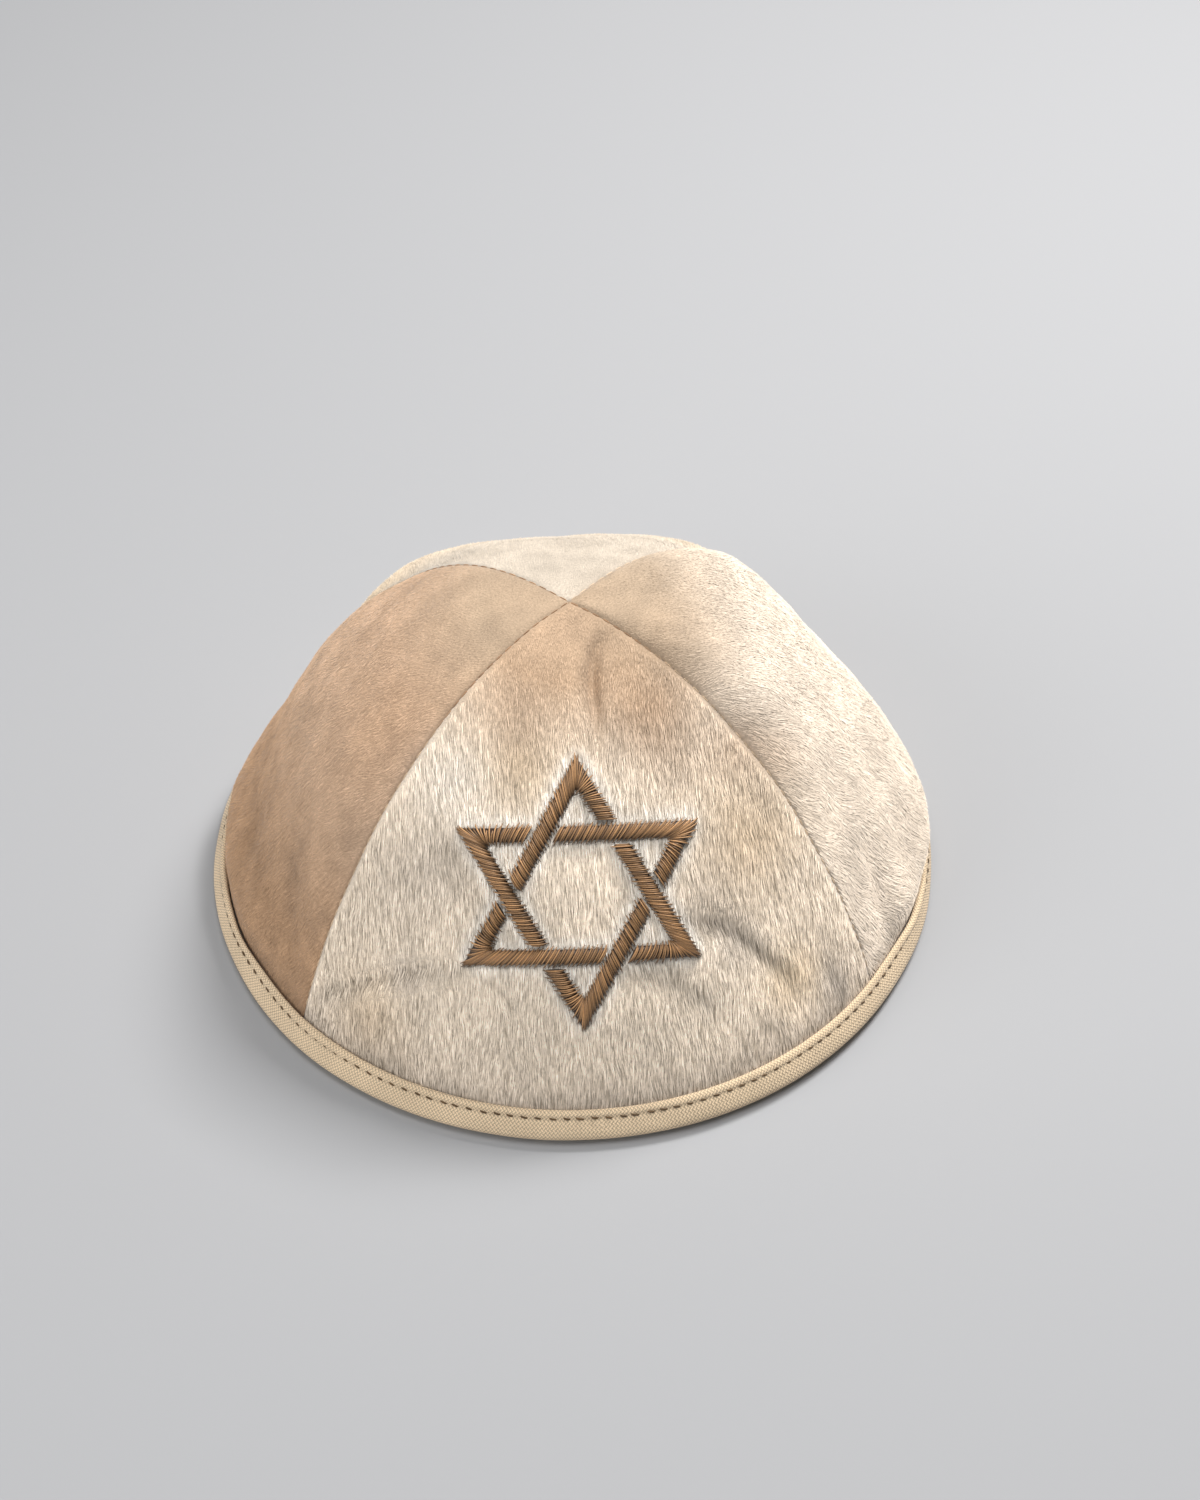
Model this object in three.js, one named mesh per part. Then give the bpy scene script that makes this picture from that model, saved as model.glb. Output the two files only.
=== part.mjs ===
// A four-panel plush skullcap: four cloth gores that meet at the crown, a folded tape bound
// round the rim, and an interlaced six-pointed star raised on the front gore.
// Millimetres, +Z up, rim on z = 0, wearer's front towards -Y.

import * as THREE from "three";

const WALL = 1.6;
const SEAM_GAP = 0.3;
const SEAT_GAP = 0.3;
const TIP_REACH = 0.7;
const HEM_HEIGHT = 1.9;
const FOLD_END = 0.9;
const FOLD_FADE = 0.08;
const BINDING_SEGMENTS = 72;

// Crown along a seam, in even steps from the crown point down to the rim: reach is the distance
// from the centre line, front and back are the heights at the front and at the back of the cap.
const CROWN = [
  { reach: 0, front: 82.2, back: 82.2 },
  { reach: 9, front: 80.9, back: 82.9 },
  { reach: 18, front: 78.0, back: 82.4 },
  { reach: 27, front: 74.2, back: 79.6 },
  { reach: 36, front: 68.7, back: 74.0 },
  { reach: 45, front: 61.5, back: 65.4 },
  { reach: 54, front: 52.6, back: 55.2 },
  { reach: 62, front: 41.4, back: 43.4 },
  { reach: 69, front: 30.3, back: 31.2 },
  { reach: 75, front: 17.6, back: 17.9 },
  { reach: 78.5, front: 8.2, back: 8.2 },
  { reach: 80.6, front: 0, back: 0 },
];

// Gores between two seam azimuths, degrees from the front towards +X. Puff is how far the middle
// of the gore stands out from its seams, shoulder the same half way to each seam, both in even
// steps from the crown point to the rim; cell is the size of a facet.
const GORES = [
  {
    name: "front_panel",
    from: -53,
    to: 53,
    cell: 3.6,
    puff: [0, -1.0, -2.6, -3.2, -1.6, 0],
    shoulder: [0, 0, 0, 0, 0, 0],
  },
  {
    name: "right_panel",
    from: 53,
    to: 130,
    cell: 4.8,
    puff: [0, 1.5, 2.6, 1.8, 4.6, 0],
    shoulder: [0, 1.3, 3.2, 0.8, -1.2, 0],
  },
  {
    name: "back_panel",
    from: 130,
    to: 230,
    cell: 5.2,
    puff: [0, -2.5, -4.3, -1.8, -1.0, 0],
    shoulder: [0, 0.3, 1.2, 2.7, 0.8, 0],
  },
  {
    name: "left_panel",
    from: 230,
    to: 307,
    cell: 4.8,
    puff: [0, 0.2, 0.3, 0.3, -0.4, 0],
    shoulder: [0, 0.2, 0.4, 1.1, -0.1, 0],
  },
];

// Creases in the cloth, each a straight hollow between two spots given by azimuth and by the
// fraction of the way from crown point to rim. Half is its half width; a negative depth is a ridge.
const FOLDS = [
  { of: "crown pinch", az: 28, along: 0.12, toAz: 4, toAlong: 0.28, half: 3.0, depth: 2.0 },
  { of: "crown pinch tail", az: 4, along: 0.28, toAz: 2, toAlong: 0.35, half: 3.0, depth: 0.9 },
  { of: "crown pinch lip", az: -12, along: 0.17, toAz: -10, toAlong: 0.27, half: 4.0, depth: -0.9 },
  { of: "left crease, seam end", az: -48, along: 0.82, toAz: -36, toAlong: 0.74, half: 2.8, depth: 1.1 },
  { of: "left crease, star end", az: -36, along: 0.74, toAz: -27, toAlong: 0.71, half: 2.8, depth: 0.8 },
  { of: "right crease, star end", az: 26, along: 0.655, toAz: 32, toAlong: 0.71, half: 3.0, depth: 1.0 },
  { of: "right crease, rim end", az: 32, along: 0.71, toAz: 38, toAlong: 0.81, half: 3.0, depth: 1.5 },
  { of: "crease under the star", az: 10, along: 0.74, toAz: 22, toAlong: 0.76, half: 3.0, depth: 0.8 },
  { of: "right corner gather", az: 46, along: 0.8, toAz: 46, toAlong: 0.89, half: 2.8, depth: 1.1 },
  { of: "hollow left of star", az: -28, along: 0.34, toAz: -22, toAlong: 0.43, half: 4.5, depth: 0.8 },
  { of: "hollow right of star", az: 33, along: 0.35, toAz: 29, toAlong: 0.43, half: 4.5, depth: 0.8 },
  { of: "right gore, front gather", az: 65, along: 0.76, toAz: 61, toAlong: 0.89, half: 3.4, depth: 1.3 },
  { of: "right gore, rear gather", az: 76, along: 0.79, toAz: 74, toAlong: 0.89, half: 3.4, depth: 1.1 },
  { of: "left gore, rear gather", az: 274, along: 0.78, toAz: 284, toAlong: 0.88, half: 4.5, depth: 0.9 },
  { of: "left gore, front gather", az: 290, along: 0.7, toAz: 299, toAlong: 0.82, half: 4.5, depth: 0.9 },
];

// Section of the folded tape, in order round the section: height above the rim plane and how far
// out of the cloth's outer face it stands at that height.
const BINDING_SECTION = [
  { at: "channel floor, outside", height: 1.2, out: 0.3 },
  { at: "outer leg, inside face", height: 7.9, out: 0.3 },
  { at: "outer leg, upper edge", height: 8.4, out: 0.75 },
  { at: "outer leg, shoulder", height: 7.8, out: 1.25 },
  { at: "outer leg, middle", height: 5.0, out: 1.95 },
  { at: "outer roll", height: 2.4, out: 2.4 },
  { at: "outer roll, low", height: 0.7, out: 2.1 },
  { at: "sole, outer edge", height: 0, out: 1.1 },
  { at: "sole, inner edge", height: 0, out: -2.8 },
  { at: "inner roll, low", height: 0.9, out: -3.6 },
  { at: "inner leg, shoulder", height: 7.4, out: -3.1 },
  { at: "inner leg, upper edge", height: 7.9, out: -2.6 },
  { at: "inner leg, inside face", height: 7.4, out: -2.0 },
  { at: "channel floor, inside", height: 1.2, out: -2.0 },
];

// The star lies in a plane that leans with the front gore; its bars are projected on the cloth
// square to that plane. Along is its middle's place on the gore, step the spacing of the stations
// along a bar.
const STAR = {
  azimuth: -2.3,
  reach: 50.9,
  height: 45.1,
  along: 0.56,
  normalElevation: 39.8,
  tipRadius: 28.4,
  barWidth: 3.8,
  endGap: 0.9,
  edgeRise: 0.4,
  crownRise: 1.0,
  step: 3.2,
};

// Top of a bar from its outer edge to its inner edge: place across the bar and share of the rise
// between edge and crown.
const BAR_TOP = [
  { across: 1, rise: 0 },
  { across: 0.62, rise: 0.75 },
  { across: 0, rise: 1 },
  { across: -0.62, rise: 0.75 },
  { across: -1, rise: 0 },
];

const radians = THREE.MathUtils.degToRad;
const reaches = CROWN.map((row) => row.reach);
const frontHeights = CROWN.map((row) => row.front);
const backHeights = CROWN.map((row) => row.back);
const crownLength = CROWN.slice(1).reduce((length, row, i) => {
  return length + Math.hypot(row.reach - CROWN[i].reach, row.front - CROWN[i].front);
}, 0);

const plush = { roughness: 0.95, metalness: 0 };
const panelMaterial = new THREE.MeshStandardMaterial({ color: 0xdccab2, ...plush });
const bindingMaterial = new THREE.MeshStandardMaterial({ color: 0xc4ab8a, roughness: 0.85, metalness: 0 });
const threadMaterial = new THREE.MeshStandardMaterial({ color: 0x9a7447, roughness: 0.5, metalness: 0 });

// Smooth curve through evenly spaced values, read at t from 0 (first) to 1 (last).
function throughValues(values, t) {
  const last = values.length - 1;
  const place = THREE.MathUtils.clamp(t, 0, 1) * last;
  const i = Math.min(Math.floor(place), last - 1);
  const f = place - i;
  const near = values[i];
  const far = values[i + 1];
  const before = i > 0 ? values[i - 1] : 2 * near - far;
  const after = i < last - 1 ? values[i + 2] : 2 * far - near;
  const nearSlope = (far - before) / 2;
  const farSlope = (after - near) / 2;
  const rise = f * f * (3 - 2 * f);
  return near + (far - near) * rise + f * (1 - f) * ((1 - f) * nearSlope - f * farSlope);
}

// Argument between low and high where a rising function passes zero.
function rootBetween(low, high, rising) {
  let a = low;
  let b = high;
  for (let i = 0; i < 50; i += 1) {
    const middle = (a + b) / 2;
    if (rising(middle) > 0) {
      b = middle;
    } else {
      a = middle;
    }
  }
  return (a + b) / 2;
}

function seamSpot(azimuth, along) {
  const lean = (1 - Math.cos(radians(azimuth))) / 2;
  const front = throughValues(frontHeights, along);
  const back = throughValues(backHeights, along);
  return new THREE.Vector2(throughValues(reaches, along), THREE.MathUtils.lerp(front, back, lean));
}

// Outward direction, as reach and height, square to the crown line at a spot.
function outwards(azimuth, along) {
  const ahead = seamSpot(azimuth, Math.min(along + 0.002, 1));
  const behind = seamSpot(azimuth, Math.max(along - 0.002, 0));
  return new THREE.Vector2(behind.y - ahead.y, ahead.x - behind.x).normalize();
}

function goreAt(azimuth) {
  const turned = THREE.MathUtils.euclideanModulo(azimuth - GORES[0].from, 360) + GORES[0].from;
  return GORES.find((gore) => turned <= gore.to);
}

// Stand-out of a gore over its seams: zero at both seams, puff in the middle, shoulder between.
function puffAt(azimuth, along) {
  const gore = goreAt(azimuth);
  const turned = THREE.MathUtils.euclideanModulo(azimuth - gore.from, 360);
  const u = (2 * turned) / (gore.to - gore.from) - 1;
  const bow = 1 - u * u;
  return bow * throughValues(gore.puff, along) + 4 * u * u * bow * throughValues(gore.shoulder, along);
}

function spotAt(azimuth, along, offset) {
  const spot = seamSpot(azimuth, along);
  spot.addScaledVector(outwards(azimuth, along), offset);
  const turn = radians(azimuth);
  return new THREE.Vector3(spot.x * Math.sin(turn), -spot.x * Math.cos(turn), spot.y);
}

const foldLines = FOLDS.map((fold) => ({
  line: new THREE.Line3(
    spotAt(fold.az, fold.along, puffAt(fold.az, fold.along)),
    spotAt(fold.toAz, fold.toAlong, puffAt(fold.toAz, fold.toAlong)),
  ),
  half: fold.half,
  depth: fold.depth,
}));

// Depth of the creases at a spot: each is a bell curve of the distance from its line, and all die
// out above the rim.
function foldDepth(spot, along) {
  const nearest = new THREE.Vector3();
  let depth = 0;
  for (const fold of foldLines) {
    fold.line.closestPointToPoint(spot, true, nearest);
    depth += fold.depth * Math.exp(-nearest.distanceToSquared(spot) / fold.half ** 2);
  }
  return depth * THREE.MathUtils.clamp((FOLD_END - along) / FOLD_FADE, 0, 1);
}

// Spot on the cap: offset is measured outwards from the cloth's outer face.
function capSpot(azimuth, along, offset) {
  const puff = puffAt(azimuth, along);
  const fold = foldDepth(spotAt(azimuth, along, puff), along);
  return spotAt(azimuth, along, puff - fold + offset);
}

// Closed body from shared points and triangles, turned so that its faces look outwards.
function closedBody(name, points, triangles, material) {
  let volume = 0;
  for (const [a, b, c] of triangles) {
    volume += points[a].dot(new THREE.Vector3().crossVectors(points[b], points[c]));
  }
  const outward = volume > 0 ? triangles : triangles.map(([a, b, c]) => [a, c, b]);
  const geometry = new THREE.BufferGeometry().setFromPoints(points);
  geometry.setIndex(outward.flat());
  geometry.computeVertexNormals();
  const mesh = new THREE.Mesh(geometry, material);
  mesh.name = name;
  return mesh;
}

// Triangles between two rows of points that may differ in number.
function zipRows(upper, lower) {
  const triangles = [];
  let i = 0;
  let j = 0;
  while (i < upper.length - 1 || j < lower.length - 1) {
    const upperNext = (i + 1) / (upper.length - 1);
    const lowerNext = (j + 1) / (lower.length - 1);
    if (j < lower.length - 1 && (i === upper.length - 1 || lowerNext <= upperNext)) {
      triangles.push([upper[i], lower[j], lower[j + 1]]);
      j += 1;
    } else {
      triangles.push([upper[i], lower[j], upper[i + 1]]);
      i += 1;
    }
  }
  return triangles;
}

// One gore: an outer and an inner face in rows that widen from crown to hem, closed along both
// seams, at the tip and at the hem.
function panelSolid(gore) {
  const tip = rootBetween(0, 0.2, (t) => throughValues(reaches, t) - TIP_REACH);
  const hem = rootBetween(0.8, 1, (t) => HEM_HEIGHT - throughValues(frontHeights, t));
  const rowCount = Math.round(crownLength / gore.cell);
  const points = [];
  const outer = [];
  const inner = [];
  for (let row = 0; row <= rowCount; row += 1) {
    const along = THREE.MathUtils.lerp(tip, hem, row / rowCount);
    const reach = throughValues(reaches, along);
    const trim = THREE.MathUtils.radToDeg(Math.asin(SEAM_GAP / 2 / reach));
    const from = gore.from + trim;
    const to = gore.to - trim;
    const columns = Math.max(1, Math.round((radians(to - from) * reach) / gore.cell));
    const outerRow = [];
    const innerRow = [];
    for (let column = 0; column <= columns; column += 1) {
      const azimuth = THREE.MathUtils.lerp(from, to, column / columns);
      outerRow.push(points.push(capSpot(azimuth, along, 0)) - 1);
      innerRow.push(points.push(capSpot(azimuth, along, -WALL)) - 1);
    }
    outer.push(outerRow);
    inner.push(innerRow);
  }
  const triangles = [];
  for (let row = 0; row < rowCount; row += 1) {
    triangles.push(...zipRows(outer[row], outer[row + 1]));
    triangles.push(...zipRows(inner[row], inner[row + 1]).map(([a, b, c]) => [a, c, b]));
  }
  const edges = [
    zipRows(inner.map((row) => row[0]), outer.map((row) => row[0])),
    zipRows(outer.map((row) => row.at(-1)), inner.map((row) => row.at(-1))),
    zipRows(outer[0], inner[0]),
    zipRows(inner.at(-1), outer.at(-1)),
  ];
  triangles.push(...edges.flat().map(([a, b, c]) => [a, c, b]));
  return closedBody(gore.name, points, triangles, panelMaterial);
}

// Quads, cut in two, between neighbouring rings of points.
function skinRings(rings) {
  const triangles = [];
  for (let k = 0; k < rings.length - 1; k += 1) {
    const here = rings[k];
    const next = rings[k + 1];
    for (let i = 0; i < here.length; i += 1) {
      const j = (i + 1) % here.length;
      triangles.push([here[i], next[i], next[j]]);
      triangles.push([here[i], next[j], here[j]]);
    }
  }
  return triangles;
}

// Reach of the cloth's outer face at a height near the rim.
function clothReach(azimuth, height) {
  const along = rootBetween(0.8, 1, (t) => height - capSpot(azimuth, t, 0).z);
  const spot = capSpot(azimuth, along, 0);
  return Math.hypot(spot.x, spot.y);
}

function bindingSolid() {
  const points = [];
  const rings = [];
  for (let segment = 0; segment < BINDING_SEGMENTS; segment += 1) {
    const azimuth = (360 * segment) / BINDING_SEGMENTS;
    const turn = radians(azimuth);
    const ring = [];
    for (const { height, out } of BINDING_SECTION) {
      const reach = clothReach(azimuth, height) + out;
      const spot = new THREE.Vector3(reach * Math.sin(turn), -reach * Math.cos(turn), height);
      ring.push(points.push(spot) - 1);
    }
    rings.push(ring);
  }
  return closedBody("rim_binding", points, skinRings([...rings, rings[0]]), bindingMaterial);
}

const starTurn = radians(STAR.azimuth);
const starLean = radians(STAR.normalElevation);
const starCentre = new THREE.Vector3(
  STAR.reach * Math.sin(starTurn),
  -STAR.reach * Math.cos(starTurn),
  STAR.height,
);
const starRight = new THREE.Vector3(Math.cos(starTurn), Math.sin(starTurn), 0);
const starUp = new THREE.Vector3(
  -Math.sin(starLean) * Math.sin(starTurn),
  Math.sin(starLean) * Math.cos(starTurn),
  Math.cos(starLean),
);

// Place on the star's plane that a spot of the front gore falls on.
function planePlace(azimuth, along) {
  const away = capSpot(azimuth, along, 0).sub(starCentre);
  return new THREE.Vector2(away.dot(starRight), away.dot(starUp));
}

// Azimuth and along of the cloth that lies under a place on the star's plane.
function clothUnder(place) {
  const sideStep = 0.1;
  const downStep = 0.001;
  let azimuth = STAR.azimuth;
  let along = STAR.along;
  for (let i = 0; i < 12; i += 1) {
    const here = planePlace(azimuth, along);
    const side = planePlace(azimuth + sideStep, along).sub(here).divideScalar(sideStep);
    const down = planePlace(azimuth, along + downStep).sub(here).divideScalar(downStep);
    const miss = place.clone().sub(here);
    const spread = side.cross(down);
    azimuth += miss.cross(down) / spread;
    along += side.cross(miss) / spread;
  }
  return { azimuth, along };
}

function heading(degrees) {
  return new THREE.Vector2(Math.cos(radians(degrees)), Math.sin(radians(degrees)));
}

// Edge points of a bar where a line of the given heading crosses it: outer edge, inner edge.
function barEnds(centre, cut, square) {
  const half = cut.clone().multiplyScalar(STAR.barWidth / 2 / cut.dot(square));
  return { outer: centre.clone().add(half), inner: centre.clone().sub(half) };
}

// One point of the star: a long bar that passes over its first crossing, a short bar that stops
// before it, and a mitred corner. Both ends are cut along the bar that they meet.
function starPoint(name, tipHeading) {
  const cornerRadius = STAR.tipRadius - STAR.barWidth;
  const edge = cornerRadius * Math.sqrt(3);
  const stop = (STAR.barWidth / 2 + STAR.endGap) / Math.sin(radians(60));
  const corner = heading(tipHeading).multiplyScalar(cornerRadius);
  const longWay = heading(tipHeading + 150);
  const shortWay = heading(tipHeading + 210);
  const longEnd = corner.clone().addScaledVector(longWay, (2 * edge) / 3 - stop);
  const shortEnd = corner.clone().addScaledVector(shortWay, edge / 3 - stop);
  const stations = [
    barEnds(longEnd, shortWay, heading(tipHeading + 60)),
    barEnds(corner, heading(tipHeading), heading(tipHeading + 60)),
    barEnds(shortEnd, heading(tipHeading - 90), heading(tipHeading - 60)),
  ];
  const pairs = [stations[0]];
  for (let leg = 0; leg < 2; leg += 1) {
    const from = stations[leg];
    const to = stations[leg + 1];
    const count = Math.ceil(from.inner.distanceTo(to.inner) / STAR.step);
    for (let k = 1; k <= count; k += 1) {
      pairs.push({
        outer: from.outer.clone().lerp(to.outer, k / count),
        inner: from.inner.clone().lerp(to.inner, k / count),
      });
    }
  }
  const points = [];
  const rings = pairs.map(({ outer, inner }) => {
    const place = (across, offset) => {
      const under = clothUnder(inner.clone().lerp(outer, (across + 1) / 2));
      return points.push(capSpot(under.azimuth, under.along, offset)) - 1;
    };
    const sole = [-1, 0, 1].map((across) => place(across, SEAT_GAP));
    const top = BAR_TOP.map(({ across, rise }) => {
      return place(across, SEAT_GAP + THREE.MathUtils.lerp(STAR.edgeRise, STAR.crownRise, rise));
    });
    return [...sole, ...top];
  });
  const triangles = skinRings(rings);
  const capFan = (ring) => {
    const rim = [...ring.slice(2), ring[0]];
    return rim.slice(1).map((spot, i) => [ring[1], rim[i], spot]);
  };
  triangles.push(...capFan(rings[0]));
  triangles.push(...capFan(rings.at(-1)).map(([a, b, c]) => [a, c, b]));
  return closedBody(name, points, triangles, threadMaterial);
}

const skullcap = new THREE.Group();
skullcap.name = "kippah_skullcap";
for (const gore of GORES) {
  skullcap.add(panelSolid(gore));
}
skullcap.add(bindingSolid());
for (let k = 0; k < 6; k += 1) {
  skullcap.add(starPoint(`star_point_${k + 1}`, 90 - 60 * k));
}

export default skullcap;
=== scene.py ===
import bpy
import numpy as np
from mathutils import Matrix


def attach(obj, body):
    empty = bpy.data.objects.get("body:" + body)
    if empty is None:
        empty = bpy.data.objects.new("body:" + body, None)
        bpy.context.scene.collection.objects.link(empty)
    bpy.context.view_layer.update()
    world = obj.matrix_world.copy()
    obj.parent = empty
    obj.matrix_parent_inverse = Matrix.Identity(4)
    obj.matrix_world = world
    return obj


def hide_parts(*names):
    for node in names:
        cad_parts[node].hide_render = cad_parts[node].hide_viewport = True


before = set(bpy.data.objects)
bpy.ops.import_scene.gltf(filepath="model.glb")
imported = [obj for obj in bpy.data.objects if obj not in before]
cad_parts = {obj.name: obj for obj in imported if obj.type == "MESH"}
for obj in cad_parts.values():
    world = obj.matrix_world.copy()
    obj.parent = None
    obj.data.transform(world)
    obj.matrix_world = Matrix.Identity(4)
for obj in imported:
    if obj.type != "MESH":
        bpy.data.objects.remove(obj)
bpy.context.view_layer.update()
print("frame loaded:", sorted(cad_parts))

# A four-panel plush skullcap: bound rim, satin-stitched six-pointed star on the front panel.
# All shapes are worked out in millimetres, +Z up, rim on z = 0, front towards -Y.
metresPerMm = 0.001


# Photograph's view: eye place in metres, tilt from straight down, turn about Z, angle of the tall side
view = {"eye": (-0.03135, -0.4341, 0.4889), "tilt": 43.858, "turn": -5.0, "tallAngle": 30.0, "near": 0.01}

light = {
    "sky": (0.96, 0.98, 1.0), "skyStrength": 0.13,
    "key": {"spot": (0.42, 0.385, 0.79), "size": 0.3, "watts": 10.7, "colour": (1.0, 0.975, 0.95)},
    "top": {"spot": (0.0, -0.25, 1.3), "size": 0.6, "watts": 6.8, "colour": (1.0, 0.99, 0.985)},
    "side": {"spot": (-0.85, -0.4, 0.5), "size": 0.8, "watts": 5.8, "colour": (1.0, 0.985, 0.97)},
}


def makeCamera():
    data = bpy.data.cameras.new("photoCamera")
    data.lens = data.sensor_width / 2 / np.tan(np.radians(view["tallAngle"] / 2))
    data.clip_start = view["near"]
    camera = bpy.data.objects.new("photoCamera", data)
    camera.location = view["eye"]
    camera.rotation_euler = np.radians((view["tilt"], 0, view["turn"]))
    bpy.context.scene.collection.objects.link(camera)
    bpy.context.scene.camera = camera


def makeLights():
    world = bpy.data.worlds.new("softSky")
    world.use_nodes = True
    sky = world.node_tree.nodes["Background"]
    sky.inputs["Color"].default_value = (*light["sky"], 1)
    sky.inputs["Strength"].default_value = light["skyStrength"]
    bpy.context.scene.world = world
    bpy.context.scene.view_settings.view_transform = "Standard"
    for name in ("key", "top", "side"):
        lamp = bpy.data.lights.new(name + "Softbox", "AREA")
        lamp.size = light[name]["size"]
        lamp.energy = light[name]["watts"]
        lamp.color = light[name]["colour"]
        holder = bpy.data.objects.new(lamp.name, lamp)
        spot = np.array(light[name]["spot"])
        aim = spot / np.linalg.norm(spot)  # an area light shines along its own -Z
        holder.location = spot
        holder.rotation_euler = (np.arccos(aim[2]), 0, np.arctan2(aim[0], -aim[1]))
        bpy.context.scene.collection.objects.link(holder)


makeCamera()
makeLights()
print("camera and lights ready")


# Small maths

def unit(vectors):
    return vectors / np.linalg.norm(vectors, axis=-1, keepdims=True)


def mix(a, b, share):
    return a + (b - a) * share


def bell(x):  # bell curve: 1 at 0, falling with the square
    return np.exp(-x ** 2)


def linearColour(red, green, blue):  # 0-255 display values to linear light
    c = np.array([red, green, blue]) / 255
    return np.where(c <= 0.04045, c / 12.92, ((c + 0.055) / 1.055) ** 2.4)


# Catmull-Rom curve through evenly spaced values: t is 0 at the first and 1 at the last
def throughValues(values, t):
    v = np.asarray(values, float)
    v = np.concatenate([[2 * v[0] - v[1]], v, [2 * v[-1] - v[-2]]])
    place = np.clip(t, 0, 1) * (len(v) - 3)
    i = np.minimum(place.astype(int), len(v) - 4)
    f = place - i
    before, near, far, after = v[i], v[i + 1], v[i + 2], v[i + 3]
    bend = (1 - f) * (far - before) / 2 - f * (after - near) / 2
    return near + (far - near) * f * f * (3 - 2 * f) + f * (1 - f) * bend


# Smooth random field of spread 1: a sum of plane waves whose lengths lie about the one given
def waveField(spots, waveLength, seed, count=26, lengthSpread=(0.75, 1.4)):
    draw = np.random.default_rng(seed)
    headings = unit(draw.normal(size=(count, 3)))
    lengths = waveLength * draw.uniform(*lengthSpread, (count, 1))
    phases = draw.uniform(0, 2 * np.pi, count)
    ways = headings * 2 * np.pi / lengths
    return np.sqrt(2 / count) * np.cos(spots @ ways.T + phases).sum(-1)


# Distance of spots from a straight stretch, and the nearest share of the way, held between its ends
def fromStretch(spots, start, end):
    way = end - start
    share = np.clip(((spots - start) @ way) / (way @ way), 0, 1)
    return np.linalg.norm(spots - start - share[..., None] * way, axis=-1), share


def runAlong(line):  # length of a line of points up to each of them
    return np.concatenate([[0], np.cumsum(np.linalg.norm(np.diff(line, axis=0), axis=1))])


# Argument between low and high where a rising function passes zero, by halving
def rootBetween(low, high, rising, rounds=24):
    for _ in range(rounds):
        middle = (low + high) / 2
        above = rising(middle) > 0
        low, high = np.where(above, low, middle), np.where(above, middle, high)
    return (low + high) / 2


# Cap surface

cap = {  # along a seam in even steps from crown point to rim: reach from the centre line, heights
    "reach": [0, 9, 18, 27, 36, 45, 54, 62, 69, 75, 78.5, 80.6],
    "front": [82.2, 80.9, 78.0, 74.2, 68.7, 61.5, 52.6, 41.4, 30.3, 17.6, 8.2, 0],
    "back": [82.2, 82.9, 82.4, 79.6, 74.0, 65.4, 55.2, 43.4, 31.2, 17.9, 8.2, 0],
    "wall": 1.6, "tipReach": 0.12, "hemHeight": 1.9, "foldEnd": 0.9, "foldFade": 0.08,
    "slopeStep": 0.002, "tipSearch": (0.0, 0.2), "rimSearch": (0.8, 1.0),  # shares of the way
}

# Each panel lies between two seam azimuths, degrees from the front towards +X;
# puff and shoulder are those of the solids, flat size and area are in metres, lift and swirl in degrees
panels = [
    {
        "piece": "front_plush", "node": "front_panel", "from": -53, "to": 53, "seed": 11,
        "puff": [0, -1.0, -2.6, -3.2, -1.6, 0], "shoulder": [0, 0, 0, 0, 0, 0],
        "rows": 130, "columns": 130, "flat": (0.150, 0.125), "area": 0.0101,
        "strands": 49000, "length": 3.2, "width": 0.33,
        "lift": 7.0, "swirl": 4.0, "contrast": 1.0, "upward": 0.6,
    },
    {
        "piece": "right_plush", "node": "right_panel", "from": 53, "to": 130, "seed": 12,
        "puff": [0, 1.5, 2.6, 1.8, 4.6, 0], "shoulder": [0, 1.3, 3.2, 0.8, -1.2, 0],
        "rows": 100, "columns": 80, "flat": (0.108, 0.125), "area": 0.0081,
        "strands": 37000, "length": 2.4, "width": 0.34,
        "lift": 6.0, "swirl": 10.0, "contrast": 0.38, "upward": 1.0,
    },
    {
        "piece": "back_plush", "node": "back_panel", "from": 130, "to": 230, "seed": 13,
        "puff": [0, -2.5, -4.3, -1.8, -1.0, 0], "shoulder": [0, 0.3, 1.2, 2.7, 0.8, 0],
        "rows": 100, "columns": 100, "flat": (0.141, 0.125), "area": 0.0101,
        "strands": 40000, "length": 2.8, "width": 0.36,
        "lift": 6.0, "swirl": 8.0, "contrast": 0.4, "upward": 0.6,
    },
    {
        "piece": "left_plush", "node": "left_panel", "from": 230, "to": 307, "seed": 14,
        "puff": [0, 0.2, 0.3, 0.3, -0.4, 0], "shoulder": [0, 0.2, 0.4, 1.1, -0.1, 0],
        "rows": 100, "columns": 80, "flat": (0.108, 0.125), "area": 0.0078,
        "strands": 37000, "length": 1.8, "width": 0.32,
        "lift": 4.5, "swirl": 10.0, "contrast": 0.42, "upward": 0.6,
    },
]

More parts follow.
